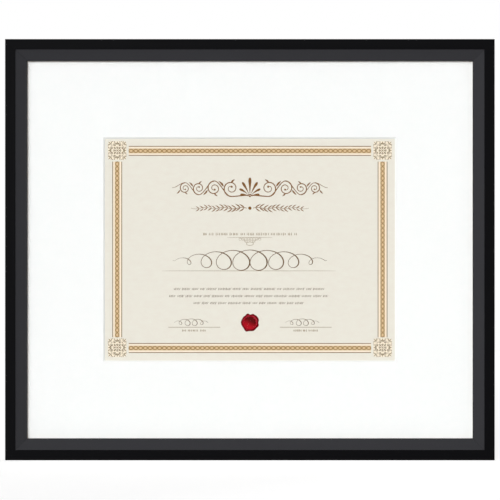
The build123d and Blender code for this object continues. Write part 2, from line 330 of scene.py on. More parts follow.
# pressed cotton pulp: a bright white without shine, whose tooth only a raking light shows
dress("mat_board", makeFinish("whiteCottonMatBoard", tones=("#FDFEFD", "#FBFDFC"), gloss=0.1,
                              roughness=(0.85, 0.95), patch=6.0, grain=0.5, relief=0.015))
# calendered paper: a warm cream, cloudy where the fibre lies thicker, and nearly matt
dress("certificate", makeFinish("creamParchmentPaper", tones=("#ECE9DD", "#EAE5D9"), gloss=0.1,
                                roughness=(0.7, 0.85), patch=(9.0, 9.0, 5.0), grain=0.4, relief=0.006))
# liner paper over foam: a flat greyish white, with the foam's cells as faint dents
dress("mounting_board", makeFinish("paperFacedFoamBoard", tones=("#F1F1EC", "#ECECE6"), gloss=0.2,
                                   roughness=(0.75, 0.9), patch=(4.0, 0.6, 4.0), grain=0.7, relief=0.03))
# wood fibre pressed hot with oil: flecked brown in broad faint clouds, with a dull polish
dress("back_panel", makeFinish("temperedHardboard", tones=("#80603E", "#67492D"), gloss=0.35,
                               roughness=(0.45, 0.62), patch=(3.2, 3.2, 0.7), mottle=(75.0, 75.0, 38.0),
                               grain=(1.6, 1.6, 0.35), relief=0.02))
print("glass, mat and boards done")


# The print: thin strokes of ink that lie on the sheet

film = dict(thickness=0.02, solidShare=0.9, leastWidth=0.02)  # a gap of a tenth keeps two layers apart

# offset ink soaked into the sheet: flat colour that is a little uneven, and as matt as the paper
inkTones = dict(
    brownInk=("#7B5329", "#835B30"), tanInk=("#D0B68C", "#D5BD95"), ochreInk=("#9A7848", "#A38153"),
    greyBrownInk=("#8C765A", "#947E62"), creamInk=("#F9EAD3", "#FBECD7"), paleInk=("#A6967F", "#AFA08A"),
    washInk=("#F6EAD4", "#F8EDD9"), laceInk=("#7C6A45", "#86744F"), beadInk=("#DCBE94", "#E0C39A"),
    penInk=("#624524", "#6C4F2C"),
)
inks = {name: makeFinish(name, tones, gloss=0.1, roughness=(0.6, 0.8), patch=1.5, grain=0.2, relief=0.002)
        for name, tones in inkTones.items()}


def printPiece(name, shells, ink):
    # ink on the document moves with the frame
    makePiece(name, shells, inks[ink], "frame")


def stroke(x, z, width, level=0, closed=False):
    # a line of ink along a path: half of its width goes to each side, square to the path, and its section
    # has four corners and stands one film above the layer below; a rising level lets a line cross itself
    path = np.stack(np.broadcast_arrays(x, z), -1).astype(float)
    side = leftOf(path, closed) * np.broadcast_to(width, len(path))[:, None] / 2
    front = paperFrontY - film["thickness"] * (np.broadcast_to(level, len(path)) + 1)
    back = front + film["thickness"] * film["solidShare"]
    corners = [(path + side, front), (path + side, back), (path - side, back), (path - side, front)]
    points = [np.stack([edge[:, 0], y, edge[:, 1]], -1) for edge, y in corners]
    return shell(np.stack(points, 1), closedRows=closed)


def bentPath(x, z, heading, length, bend, steps):
    # equal steps from one point, whose heading in degrees turns steadily by bend from first to last, and
    # each point's share of the length
    share = np.linspace(0, 1, steps)
    direction = np.radians(heading + bend * share[:-1])
    step = length / (steps - 1)
    alongX = np.concatenate([[0], np.cumsum(np.cos(direction))]) * step
    alongZ = np.concatenate([[0], np.cumsum(np.sin(direction))]) * step
    return x + alongX, z + alongZ, share


def leaf(x, z, heading, length, width, level=0, bend=0.0, steps=14):
    # a pointed leaf from its stalk: its width is half a wave, fullest a little before the middle
    pathX, pathZ, share = bentPath(x, z, heading, length, bend, steps)
    return stroke(pathX, pathZ, width * np.sin(np.pi * share ** 0.8) + film["leastWidth"], level)


def petal(x, z, heading, length, width, level=0, bend=0.0, steps=22, foot=0.14, widest=0.75):
    # a round-ended petal: narrow at its foot, widest three quarters of the way up, closed by half an ellipse
    pathX, pathZ, share = bentPath(x, z, heading, length, bend, steps)
    rise = np.minimum(share / widest, 1)
    close = np.clip((share - widest) / (1 - widest), 0, 1)
    swell = foot + (1 - foot) * rise ** 1.2 * np.sqrt(1 - close ** 2)
    return stroke(pathX, pathZ, width * swell * (share < 1) + film["leastWidth"], level)


def dot(x, z, radius, level=0, sides=20):
    # a round dot: a short stroke as wide as the circle is at each place
    share = np.linspace(-1, 1, sides)
    width = 2 * radius * np.sqrt(1 - share ** 2) + film["leastWidth"]
    return stroke(x + radius * share, np.full(sides, z), width, level)


curling = dict(windings=1.55, tightening=0.80, thinning=0.55, eye=0.13)


def volute(x, z, radius, start, spin, width, level=2, steps=70):
    # a spiral that winds inwards from a start angle in degrees: its radius falls steadily over its windings,
    # its line thins, and it ends in a round eye
    share = np.linspace(0, 1, steps)
    reach = radius * (1 - curling["tightening"] * share ** 0.9)
    curl = reach * np.exp(1j * (np.radians(start) + spin * curling["windings"] * turn * share))
    line = width * (1 - curling["thinning"] * share)
    return [stroke(x + curl.real, z + curl.imag, line, level),
            dot(x + curl[-1].real, z + curl[-1].imag, radius * curling["eye"], level + 1)]


def plate(x, z, level=0):
    # a flat patch of ink inside a closed outline: rings from the front's middle, over the outline, to the
    # back's
    outline = np.stack([x, z], -1)
    rings = []
    for size, depth in ((0.01, 0.0), (1.0, 0.0), (1.0, film["solidShare"]), (0.01, film["solidShare"])):
        flat = outline * size
        front = np.full(len(flat), paperFrontY - film["thickness"] * (level + 1 - depth))
        rings.append(np.stack([flat[:, 0], front, flat[:, 1]], -1))
    return shell(np.stack(rings))


# The border: a chain of interlaced waves between two thin lines

border = dict(inset=11.4, rise=0.23, gapAcross=10.7, gapUp=10.0, lineOffset=4.2, lineWidth=0.75,
              bandHalf=2.2, chainPitch=4.41, waveHeight=1.55, waveWidth=0.68, eyeLength=2.3, eyeWidth=1.4)
borderInks = dict(Tint="creamInk", Band="tanInk", Eyes="beadInk", Chain="ochreInk", Lines="greyBrownInk")
borderX = windowHalfWidth - border["inset"]
borderZ = windowHalfHeight - border["inset"]


def borderSide(halfLength):
    # one side, drawn along X about its middle: the tint, the band, its two waves, and the eyes between them,
    # each as wide as an ellipse is at every place
    links = round(2 * halfLength / border["chainPitch"])
    pitch = 2 * halfLength / links
    along = np.linspace(-halfLength, halfLength, links * 8 + 1)
    wave = border["waveHeight"] * np.sin(np.pi * (along + halfLength) / pitch)
    ends = np.array([-halfLength, halfLength])
    eyes = -halfLength + (np.arange(links) + 0.5) * pitch
    eyeShare = np.linspace(-1, 1, 7)
    eyeWidth = border["eyeWidth"] * np.sqrt(1.02 - eyeShare ** 2)
    return dict(
        Tint=[stroke(ends, np.zeros(2), 2 * border["lineOffset"], 0)],
        Band=[stroke(ends, np.zeros(2), 2 * border["bandHalf"], 1)],
        Eyes=[stroke(x + eyeShare / 2 * border["eyeLength"], np.zeros(7), eyeWidth, 2) for x in eyes],
        Chain=[stroke(along, wave, border["waveWidth"], 3), stroke(along, -wave, border["waveWidth"], 4)],
        Lines=[stroke(ends, np.full(2, side * border["lineOffset"]), border["lineWidth"], 1)
               for side in (-1, 1)],
    )


layers = {layer: [] for layer in borderInks}
lying = (borderX - border["gapAcross"], borderZ)  # a side's half length, and how far out it lies
standing = (borderZ - border["gapUp"], borderX)
for quarter, (halfLength, distance) in enumerate((lying, standing) * 2):
    for layer, shells in borderSide(halfLength).items():
        layers[layer] += moved(turned(moved(shells, 0, -distance), 90 * quarter), 0, border["rise"])
for layer, ink in borderInks.items():
    printPiece("printBorder" + layer, layers[layer], ink)

# At each corner a square of filigree on a pale wash
filigree = dict(washHalf=8.7, rise=0.6, heart=0.65, scrollX=5.15, scrollZ=2.35, scrollRadius=1.72,
                scrollWidth=0.42, leafWidth=0.74, fanFoot=5.2, fanGap=0.9, fanSpread=42, fanLean=36)


def scallopedSquare(size, power=7, lobes=24, lobeHeight=0.03, steps=192):
    # a square with rounded corners: the radius is the size over the power mean of cosine and sine, with
    # small lobes added
    angle = np.linspace(0, turn, steps, endpoint=False)
    spread = (np.abs(np.cos(angle)) ** power + np.abs(np.sin(angle)) ** power) ** (1 / power)
    radius = size / spread * (1 + lobeHeight * np.cos(lobes * angle))
    return radius * np.cos(angle), radius * np.sin(angle)


def filigreeQuarter():
    # the quarter that faces +X: two spirals that spring from a bud, and a petal and a fan on the diagonal
    x, z, radius, wide = (filigree[key] for key in ("scrollX", "scrollZ", "scrollRadius", "leafWidth"))
    half = np.cos(turn / 8)
    shells = [leaf(1.2, 0, 0, 2.9, wide, 3),  # the bud
              leaf(5.5, 0, 0, 3.2, wide * 1.1, 3),  # between the spirals
              petal(half, half, 45, 3.3, wide * 1.6, 3),
              leaf(5.6, 5.6, 45, 3.9, wide, 4)]  # the fan's middle
    for side in (-1, 1):
        shells += volute(x, side * z, radius, -90 * side, side, filigree["scrollWidth"], steps=44)
        shells.append(leaf(5.8, side * 0.4, 44 * side, 2.1, wide * 0.9, 4))
        away = np.radians(45 + filigree["fanSpread"] * side)
        foot = filigree["fanFoot"] + filigree["fanGap"] * np.array([np.cos(away), np.sin(away)])
        shells.append(leaf(*foot, 45 + filigree["fanLean"] * side, 2.9, wide * 0.9, 4))
    return shells


def filigreeBeads():
    # the beads of one quarter, as place and radius: in the spirals' eyes, beside the bud, at the fan's
    # foot, along the edge and on the bud
    x, z = filigree["scrollX"], filigree["scrollZ"]
    places = [(x, z, 0.62), (x, -z, 0.62), (3.0, 1.0, 0.4), (3.0, -1.0, 0.4), (5.0, 5.0, 0.5),
              (7.9, 2.5, 0.55), (7.9, -2.5, 0.55), (8.3, 4.3, 0.42), (8.3, -4.3, 0.42), (1.7, 0, 0.45)]
    return [dot(*place, 5, sides=12) for place in places]


washes, corners, beads = [], [], []
for toRight in (-1, 1):
    for upwards in (-1, 1):
        place = (toRight * borderX, upwards * borderZ + filigree["rise"])
        washes += moved([plate(*scallopedSquare(filigree["washHalf"]))], *place)
        corners += moved([dot(0, 0, filigree["heart"], 4)], *place)
        for quarter in range(4):
            corners += moved(turned(filigreeQuarter(), 90 * quarter), *place)
            beads += moved(turned(filigreeBeads(), 90 * quarter), *place)
printPiece("printCornerWash", washes, "washInk")
printPiece("printCornerFiligree", corners, "laceInk")
printPiece("printCornerBeads", beads, "greyBrownInk")
print("border done")


# The heading: a running scroll that grows from a fan of petals, where a certificate has its words

heading = dict(z=57.2, scrollPlaces=(17.5, 33.2, 47.6, 60.4), scrollRadii=(7.6, 6.8, 6.0, 5.2),
               stemWidth=0.86, stemStart=(2.0, -6.5), stemEnd=(72.4, 0.5), stemSteps=140, fanHeight=17.5,
               fanZ=-7.4)
# each petal's spread in degrees, then its length and width as shares of the fan's height
petalShares = ((0, 1.0, 0.16), (24, 0.86, 0.135), (47, 0.69, 0.12), (70, 0.53, 0.105))


def headingScroll():
    # the stem passes under one spiral and over the next, eased by half a cosine from place to place, and
    # each spiral carries a leaf inside it and one outside
    places, radii = np.array(heading["scrollPlaces"]), np.array(heading["scrollRadii"])
    ups = np.array([1, -1, 1, -1])
    knots = np.concatenate([heading["stemStart"][:1], places, heading["stemEnd"][:1]])
    levels = np.concatenate([heading["stemStart"][1:], -ups * radii, heading["stemEnd"][1:]])
    share = np.linspace(0, len(knots) - 1, heading["stemSteps"])
    knot = np.minimum(share.astype(int), len(knots) - 2)
    part = share - knot
    ease = (1 - np.cos(np.pi * part)) / 2
    x = knots[knot] + (knots[knot + 1] - knots[knot]) * part
    z = levels[knot] + (levels[knot + 1] - levels[knot]) * ease
    shells = [stroke(x, z, heading["stemWidth"] * (1.25 - 0.8 * share / share[-1]), 1)]
    for place, radius, up in zip(places, radii, ups):
        line = heading["stemWidth"] * (0.75 + 0.5 * radius / radii[0])
        shells += volute(place, 0, radius, -90 * up, up, line)
        outside = leaf(place + radius - 0.6, up * 1.5, 62 * up, radius * 0.95, radius * 0.22, 3, -30 * up)
        inside = leaf(place, up * radius * 0.70, 128 * up, radius * 0.62, radius * 0.19, 4, 28 * up)
        shells += [outside, inside]
    return shells


def palmette(size, foot=0.16):
    # petals round a small arch, the middle one the tallest, each next one shorter and bent further out
    shells = []
    for spread, length, width in petalShares:
        for side in ((1,) if spread == 0 else (-1, 1)):
            aim = 90 - side * spread
            away = np.radians(aim)
            shells.append(petal(foot * size * np.cos(away), foot * size * np.sin(away), aim,
                                size * (length - foot), size * width, 2, bend=-side * spread * 0.5))
    arch = arc((0, 0), 0.1 * size, 0, 180, 24)
    return shells + [stroke(*arch.T, 0.055 * size, 2), dot(0, 0, 0.05 * size, 2)]


headingShells = mirrored(headingScroll()) + moved(palmette(heading["fanHeight"]), 0, heading["fanZ"])
printPiece("printHeadingScroll", moved(headingShells, 0, heading["z"]), "brownInk")

# Under it a garland: pairs of leaves along a thin waving stem, smaller towards its ends
garland = dict(z=38.7, halfWidth=54.8, gap=3, firstLeaf=4, leafRun=45.8, pairs=12, leafLength=6.4,
               leafWidth=1.05, leafAngle=46, leafBend=26, lengthLoss=0.35, widthLoss=0.3, wave=0.7, waves=3,
               stemWidth=0.5, middleDot=1.5)


def garlandHalf():
    # the half on the right: the stem is a sine of small height, and each leaf starts on it
    share = np.linspace(0, 1, 40)
    wave = garland["wave"] * np.sin(share * garland["waves"] * turn)
    stemX = garland["gap"] + (garland["halfWidth"] - garland["gap"]) * share
    shells = [stroke(stemX, wave, garland["stemWidth"] * (1 - 0.5 * share), 1)]
    for pair in range(garland["pairs"]):
        part = (pair + 0.3) / garland["pairs"]
        x = garland["firstLeaf"] + garland["leafRun"] * part
        z = garland["wave"] * np.sin(part * garland["waves"] * turn)
        length = garland["leafLength"] * (1 - garland["lengthLoss"] * part)
        width = garland["leafWidth"] * (1 - garland["widthLoss"] * part)
        shells += [leaf(x, z, up * garland["leafAngle"], length, width, 2, bend=-up * garland["leafBend"])
                   for up in (-1, 1)]
    return shells


garlandShells = mirrored(garlandHalf()) + [dot(0, 0, garland["middleDot"], 2)]
printPiece("printGarland", moved(garlandShells, 0, garland["z"]), "brownInk")
print("heading done")


# Fine lines: runs of small marks with gaps, as wide and as tall as a document's lines, with nothing to read

rng = np.random.default_rng(11)
smallLine = dict(left=-43.1, right=43.5, z=14.6, height=3.4, pitch=1.5, width=0.78)
fineLines = dict(height=1.7, pitch=1.5, width=0.26)
fineEnds = ((-70.9, 70.7, -36.6), (-75.2, 73.1, -43.2), (-52.5, 50.5, -49.7))  # left, right and z of each
captions = dict(z=-75.2, height=2.6, pitch=1.35, width=0.86)
captionEnds = ((-62.6, -40.8), (41.0, 63.0))


def beadRow(left, right, z, height, pitch, width, gap=0.9):
    # upright spindles in groups of three to eight, their heights and steps a little uneven; gap is the
    # space between groups, as a share of the pitch
    shells = []
    x = left
    while x < right:
        for mark in range(int(rng.integers(3, 9))):
            if x < right:
                tall = height * rng.uniform(0.75, 1.0)
                shells.append(leaf(x, z - tall / 2, 90, tall, width * rng.uniform(0.8, 1.2), 1, steps=8))
                x += pitch * rng.uniform(0.75, 1.25)
        x += pitch * gap
    return shells


def waveRow(left, right, z, height, pitch, width, perWave=8, leaning=0.45, gap=1.1):
    # a running pen line in groups: a low cosine of uneven swings that leans forward, wider where it falls
    shells = []
    x = left
    while x < right - 2 * pitch:
        waves = min(int(rng.integers(3, 9)), int((right - x) / pitch))
        share = np.linspace(0, 1, waves * perWave + 1)
        tall = np.repeat(0.8 + 0.6 * rng.random(waves), perWave)
        phase = share * waves * turn
        wave = height / 2 * np.cos(phase) * np.concatenate([tall, tall[-1:]])
        length = waves * pitch
        line = width * (1 + 0.35 * np.sin(phase))
        shells.append(stroke(x + share * length + leaning * wave, z + wave, line, 1))
        x += length + pitch * gap
    return shells


printPiece("printSmallLine", beadRow(**smallLine), "paleInk")
fineShells = [waveRow(left, right, z, **fineLines) for left, right, z in fineEnds]
printPiece("printFineLines", sum(fineShells, []), "penInk")


# A drop ornament under a thin rule, and the rules that are written on

drop = dict(z=11.3, ruleHalf=21.2, ruleWidth=0.4, loop=1.15, loopPitch=2.6, loopWidth=0.25,
            rowCounts=(8, 4), rowTop=-0.3, rowStep=1.6, ovalWidth=6.6, ovalHeight=3.2, ovalZ=-5.7,
            ovalLine=0.45, stemFrom=10.4, stemTop=-0.5, stemFall=4.4, stemWidth=0.3)
rules = dict(nameEnds=(-81.7, 80.0), nameZ=-19.7, nameWidth=0.37, signEnds=((-75.9, -27.6), (28.0, 76.1)),
             signZ=-72.2, signWidth=0.42)


def rule(left, right, z, width, steps=24):
    # a line whose width is a quarter, and the rest a flattened half wave, so that it thins at both ends
    share = np.linspace(0, 1, steps)
    swell = 0.25 + 0.75 * np.sin(np.pi * share) ** 0.4
    return stroke(left + (right - left) * share, np.full(steps, z), width * swell, 1)


def oval(x, z, width, height, line, level=1, steps=28):
    # a closed ring of ink along an ellipse
    angle = np.linspace(0, turn, steps, endpoint=False)
    return stroke(x + width / 2 * np.cos(angle), z + height / 2 * np.sin(angle), line, level, closed=True)


def dropOrnament():
    # two rows of rings that narrow to an oval pendant, with a stem that swings in from each side
    loop, pitch = drop["loop"], drop["loopPitch"]
    shells = [rule(-drop["ruleHalf"], drop["ruleHalf"], 0, drop["ruleWidth"]),
              oval(0, drop["ovalZ"], drop["ovalWidth"], drop["ovalHeight"], drop["ovalLine"], 4)]
    for row, count in enumerate(drop["rowCounts"]):
        for place in pitch * (np.arange(count) - (count - 1) / 2):
            z = drop["rowTop"] - loop * (1 + drop["rowStep"] * row)
            shells.append(oval(place, z, 2 * loop, 2 * loop, drop["loopWidth"], 1 + row))
    swing = np.linspace(0, 1, 30)
    stemX = drop["stemFrom"] * (1 - 0.7 * swing ** 0.8)
    stemZ = drop["stemTop"] - drop["stemFall"] * swing ** 1.8
    return shells + mirrored([stroke(stemX, stemZ, drop["stemWidth"], 3)])


printPiece("printDropOrnament", moved(dropOrnament(), 0, drop["z"]), "paleInk")
signRules = [stroke(np.array(ends), np.full(2, rules["signZ"]), rules["signWidth"], 1)
             for ends in rules["signEnds"]]
printPiece("printRules", [rule(*rules["nameEnds"], rules["nameZ"], rules["nameWidth"])] + signRules,
           "greyBrownInk")
captionShells = [beadRow(left, right, **captions) for left, right in captionEnds]
printPiece("printCaptions", sum(captionShells, []), "paleInk")

flourish = dict(halfWidth=72.0, height=19.0, loops=9, nib=1.0)
flourishZ = -9.8
signature = dict(halfWidth=16.0, height=6.4, loops=5, nib=0.56)
signaturePlaces = ((-54.7, -67.6), (48.8, -67.6))


def penFlourish(halfWidth, height, loops, nib):
    # a looped pen line, alike on both sides: a steady run along X with a turning circle added, its loops
    # tallest in the middle; the nib is wide where the line falls, and the line climbs as it crosses itself
    share = np.linspace(-1, 1, loops * 40)
    spin = turn * loops / 2 * share
    size = 1 - np.abs(share) ** 2.2
    x = halfWidth * share + height * 0.62 * size * np.sin(spin)
    z = height / 2 * size * np.cos(spin)
    fall = np.clip(np.sin(spin), 0, 1)
    taper = 1 - 0.75 * np.abs(share) ** 3
    return [stroke(x, z, nib * (0.55 + 0.6 * fall) * taper, 1 + loops * (share + 1) / 4)]


penShells = moved(penFlourish(**flourish), 0, flourishZ)
for place in signaturePlaces:
    penShells += moved(penFlourish(**signature), *place)
printPiece("printPenFlourishes", penShells, "penInk")
print("print done")


# The wax seal: a squeezed rim with uneven lobes round the dish that a plain round die leaves

wax = dict(dieRadius=5.4, dieWall=0.7, floor=0.5, ripple=0.05, crest=1.06, crestShare=0.36,
           crestWidth=0.34, skirt=0.34, edgeHeight=0.02, sheetGap=0.004,
           lumps=((3, 1.0, 0.06), (7, 0.4, 0.05), (11, 0.0, 0.05)),  # each sine's count, phase and height
           # the dish's and rim's dark and bright tones are painted shade to the upper right and painted
           # light to the lower left
           dishShaded="#5C0506", dishLit="#B41020", rimShaded="#940818", rimLit="#A80B1C",
           # the crest's pale pink is a painted highlight, strongest along the way that highlightWay names
           crestHighlight="#C43B4B", skirtShade="#6E0510", sheen=(0.42, 0.5), cloudSize=1.6, grainSize=0.5,
           grainRelief=0.01, paintedLightWay=(-0.5, 0.0, -0.87), paintedLightRange=(-1.8, 4.0), wander=0.6,
           highlightWay=(0.1, 0.0, 0.99), highlightRange=(-3.0, 3.0), rimRange=(-0.06, 0.08),
           skirtRange=(0.32, 0.60))
sealLow, sealHigh = nodeBox("wax_seal")
sealZ = -67.65
# how far the wax reaches at its tips and creases, in millimetres, by the angle from +X in degrees
sealReach = ((15, 8.8), (33, 8.65), (47, 8.65), (57, 8.35), (69, 8.6), (87, 7.0), (105, 8.7), (124, 7.6),
             (141, 8.0), (155, 7.85), (180, 8.5), (198, 8.2), (217, 7.9), (231, 8.35), (246, 9.5),
             (263, 8.15), (278, 8.2), (293, 8.65), (304, 8.5), (316, 8.05), (327, 8.45), (340, 8.9),
             (358, 7.75))


def smoothStep(value, low, high):
    # 0 below the low mark and 1 above the high one, eased between them
    share = np.clip((value - low) / (high - low), 0, 1)
    return share * share * (3 - 2 * share)


def sealEdge(angle):
    # the wax's outline: straight runs between tips and creases, each eased over a few degrees
    degrees, reach = np.array(sealReach, float).T
    spread = np.radians(np.array([-6, -3, 0, 3, 6]))
    return sum(weight * np.interp(np.degrees(angle + shift), degrees, reach, period=360)
               for weight, shift in zip((0.12, 0.22, 0.32, 0.22, 0.12), spread))


def sealShell(sides=180, dishRings=22, rimRings=34):
    # a polar grid: the dish is round, and from its wall outwards each ring blends into the free outline;
    # the height is a faintly rippled floor, a smooth wall up to a crest like half a wave, made lumpy by
    # three sines round the rim, and a low skirt that rounds off
    angle = np.linspace(0, turn, sides, endpoint=False)
    edge, die = sealEdge(angle), wax["dieRadius"]
    inner = np.linspace(0.02, 1, dishRings)[:, None] * die * np.ones(sides)
    outward = np.sin(np.linspace(0, np.pi / 2, rimRings + 1)[1:])[:, None]
    outer = die + (edge - die) * outward
    radius = np.concatenate([inner, outer])
    share = np.clip((radius - die) / (edge - die), 0, 1)
    lumps = 1 + sum(height * np.sin(count * angle + phase) for count, phase, height in wax["lumps"])
    wall = smoothStep(radius, die - wax["dieWall"], die + 0.3)
    swell = np.cos(np.clip((share - wax["crestShare"]) / wax["crestWidth"], -1, 1) * np.pi / 2) ** 0.8
    swell = np.where(share < wax["crestShare"], np.maximum(swell, 0.8), swell)
    skirt = wax["skirt"] * np.sqrt(np.clip(1 - share ** 6, 0, 1))
    rim = np.maximum(skirt, wax["crest"] * lumps * swell)
    dish = wax["floor"] + wax["ripple"] * np.sin(radius * 0.9 + 0.6) * np.cos(2 * angle + 0.5)
    height = np.minimum(dish * (1 - wall) + rim * wall, sealHigh[1] - sealLow[1])
    height[-1] = wax["edgeHeight"]
    base = paperFrontY - wax["sheetGap"]
    top = np.stack([radius * np.cos(angle), base - height, sealZ + radius * np.sin(angle)], -1)
    foot = top[-1:].copy()
    foot[..., 1] = base
    return shell(np.concatenate([top, foot]))


def makeWax():
    # pressed sealing wax, a resin with a soft shine: painted shade darkens the upper right of the dish and
    # rim, painted light brightens the lower left, a painted highlight runs along the crest, and the thin
    # skirt carries the darkest painted shade
    material, shader = newMaterial("pressedSealingWax", Specular_IOR_Level=0.03)
    place = addNode(material, "TexCoord", out="Object")
    centred = addNode(material, "Mapping", {"Vector": place, "Location": [0, 0, -sealZ * mm]})
    rimShare = addNode(material, "Attribute", out="Fac", attribute_name="rimShare")
    cloud = patternAt(material, wax["cloudSize"])
    reachAlong = dict(out="Value", operation="DOT_PRODUCT")  # makes Vector Math give a distance along a line

    # painted light brightens the tones down to the lower left, and painted shade darkens them to the upper
    # right, the edge between them wandering with the clouds
    slant = addNode(material, "VectorMath", {0: centred, 1: wax["paintedLightWay"]}, **reachAlong)
    wander = addNode(material, "MapRange", {0: cloud, 3: -wax["wander"] * mm, 4: wax["wander"] * mm})
    slant = addNode(material, "Math", {0: slant, 1: wander}, operation="ADD")
    low, high = wax["paintedLightRange"]
    lit = addNode(material, "MapRange", {0: slant, 1: low * mm, 2: high * mm})

    # a painted highlight along the crest, mostly on its upper side and in patches
    offCrest = addNode(material, "Math", {0: rimShare, 1: wax["crestShare"] - 0.04}, operation="SUBTRACT")
    offCrest = addNode(material, "Math", {0: offCrest}, operation="ABSOLUTE")
    crestLine = addNode(material, "MapRange", {0: offCrest, 1: 0.22, 2: 0.04})
    rise = addNode(material, "VectorMath", {0: centred, 1: wax["highlightWay"]}, **reachAlong)
    low, high = wax["highlightRange"]
    upper = addNode(material, "MapRange", {0: rise, 1: low * mm, 2: high * mm, 3: 0.3})
    patches = addNode(material, "MapRange", {0: cloud, 1: 0.2, 2: 0.6})
    crestHighlight = addNode(material, "Math", {0: crestLine, 1: upper}, operation="MULTIPLY")
    crestHighlight = addNode(material, "Math", {0: crestHighlight, 1: patches}, operation="MULTIPLY")

    # the low skirt takes painted shade, darkest towards the outline
    onRim = addNode(material, "MapRange", {0: rimShare, 1: wax["rimRange"][0], 2: wax["rimRange"][1]})
    onSkirt = addNode(material, "MapRange", {0: rimShare, 1: wax["skirtRange"][0], 2: wax["skirtRange"][1]})
    dish = addNode(material, "Mix", {0: lit, 6: wax["dishShaded"], 7: wax["dishLit"]}, **colourMix)
    rim = addNode(material, "Mix", {0: lit, 6: wax["rimShaded"], 7: wax["rimLit"]}, **colourMix)
    rim = addNode(material, "Mix", {0: crestHighlight, 6: rim, 7: wax["crestHighlight"]}, **colourMix)
    colour = addNode(material, "Mix", {0: onRim, 6: dish, 7: rim}, **colourMix)
    colour = addNode(material, "Mix", {0: onSkirt, 6: colour, 7: wax["skirtShade"]}, **colourMix)
    rough = addNode(material, "MapRange", {0: cloud, 3: wax["sheen"][0], 4: wax["sheen"][1]})
    grain = patternAt(material, wax["grainSize"], offset=2.1)
    bump = addNode(material, "Bump", {"Height": grain, "Distance": wax["grainRelief"] * mm, "Strength": 0.3})
    lead(material, shader, {"Base Color": colour, "Roughness": rough, "Normal": bump})
    return material


seal = makePiece("waxSealPressed", [sealShell()], makeWax(), "frame", sharpAngle=70)
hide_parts("wax_seal")
# how far each point lies between the dish's wall (0) and the outline (1); it is below 0 in the dish
places = np.empty(len(seal.data.vertices) * 3, np.float32)
seal.data.vertices.foreach_get("co", places)
places = places.reshape(-1, 3) / mm
reach = np.hypot(places[:, 0], places[:, 2] - sealZ)
edge = sealEdge(np.arctan2(places[:, 2] - sealZ, places[:, 0]) % turn)
share = (reach - wax["dieRadius"]) / (edge - wax["dieRadius"])
rimShare = seal.data.attributes.new("rimShare", "FLOAT", "POINT")
rimShare.data.foreach_set("value", share.astype(np.float32))
print("seal done")


# Hardware behind: screws, turn buttons, strap hangers, D-rings and bumpers

# zinc under a yellow chromate dip: a straw gold that drifts towards grey
yellowZinc = makeFinish("yellowZincPlatedSteel", tones=("#D9C27E", "#C9B98F"), metallic=1.0,
                        roughness=(0.28, 0.4), patch=1.2, grain=0.3, relief=0.004)
# stampings plated in a barrel: a cool bright grey with a faint mottle
brightZinc = makeFinish("brightZincPlatedSteel", tones=("#C7CACD", "#B5B9BE"), metallic=1.0,
                        roughness=(0.25, 0.4), patch=2.0, grain=0.4, relief=0.006)
# nickel over polished wire and strip: warmer and smoother than the zinc, so that it mirrors more
nickel = makeFinish("nickelPlatedSteel", tones=("#CBC7C0", "#BDB9B2"), metallic=1.0, roughness=(0.18, 0.3),
                    patch=2.5, grain=0.5, relief=0.004)
# rubber from a blasted mould: nearly black, matt and finely pitted
rubber = makeFinish("mouldedRubber", tones=("#1B1B1C", "#222223"), gloss=0.4, roughness=(0.6, 0.75),
                    patch=3.0, grain=0.25, relief=0.02)

screw = dict(headRadius=2.75, headHeight=1.9, headRound=0.75, roundDrop=0.85, crownRadius=1.72, crown=0.10,
             crownFrom=1.5, footHeight=0.25, footInset=0.2, shankRadius=1.3, rootRadius=0.95,
             shankLength=10.0, point=2.6, threadStart=0.6, threadPitch=1.1, threadRows=56, ridgeHalf=0.28,
             crossReach=1.55, crossWidth=0.78, crossDepth=1.15)
# angles in degrees round one arm of the cross, closer together where its side meets its end and its corner
armAngles = np.array([0, 6, 13, 14.1, 15, 22, 30, 38, 45, 52, 60, 68, 75, 75.9, 77, 84])
# rings of the recess above its point: share of the cross's reach, and share of its depth
recessShares = ((0.5, 0.82), (0.86, 0.62), (1.0, 0.02))


def crossOutline(angle, reach, width):
    # a plus sign seen from its centre: in each eighth the nearer of the arm's end and the arm's side
    folded = np.abs((angle + turn / 8) % (turn / 4) - turn / 8)
    return np.minimum(reach / np.cos(folded), width / 2 / np.maximum(np.sin(folded), 1e-6))


def screwShell():
    # a pan head with a rounded rim and a cross recess whose outline narrows as it sinks, over a threaded
    # shank whose radius rises to a crest once a pitch
    angle = np.radians(np.concatenate([armAngles + 90 * arm for arm in range(4)]))
    circle = np.ones(len(angle))
    top, head, shank = screw["headHeight"], screw["headRadius"], screw["shankRadius"]
    reach, width = screw["crossReach"], screw["crossWidth"]
    rows = [(0.02 * circle, top - screw["crossDepth"])]
    for share, depth in recessShares:
        narrowed = crossOutline(angle, reach * share, width * (0.4 + 0.6 * share))
        rows.append((narrowed, top - screw["crossDepth"] * depth))
    rows.append((np.maximum(screw["crownRadius"], crossOutline(angle, reach, width)), top))
    rimCentre = (head - screw["headRound"], top - screw["roundDrop"])
    for radius, height in arc(rimCentre, screw["headRound"], 80, 0, 7):
        rows.append((radius * circle, height + screw["crown"] * (height > screw["crownFrom"])))
    rows += [(head * circle, screw["footHeight"]), ((head - screw["footInset"]) * circle, 0.0),
             (shank * circle, 0.0)]
    for depth in np.linspace(screw["threadStart"], screw["shankLength"], screw["threadRows"]):
        phase = (depth / screw["threadPitch"] + angle / turn) % 1
        ridge = np.clip(1 - np.abs(phase - 0.5) / screw["ridgeHalf"], 0, 1)
        point = np.clip((screw["shankLength"] - depth) / screw["point"], 0.02, 1)
        rows.append(((screw["rootRadius"] + (shank - screw["rootRadius"]) * ridge) * point, -depth))
    return shell(np.stack([np.stack([radius * np.cos(angle), height * circle, radius * np.sin(angle)], -1)
                           for radius, height in rows]))


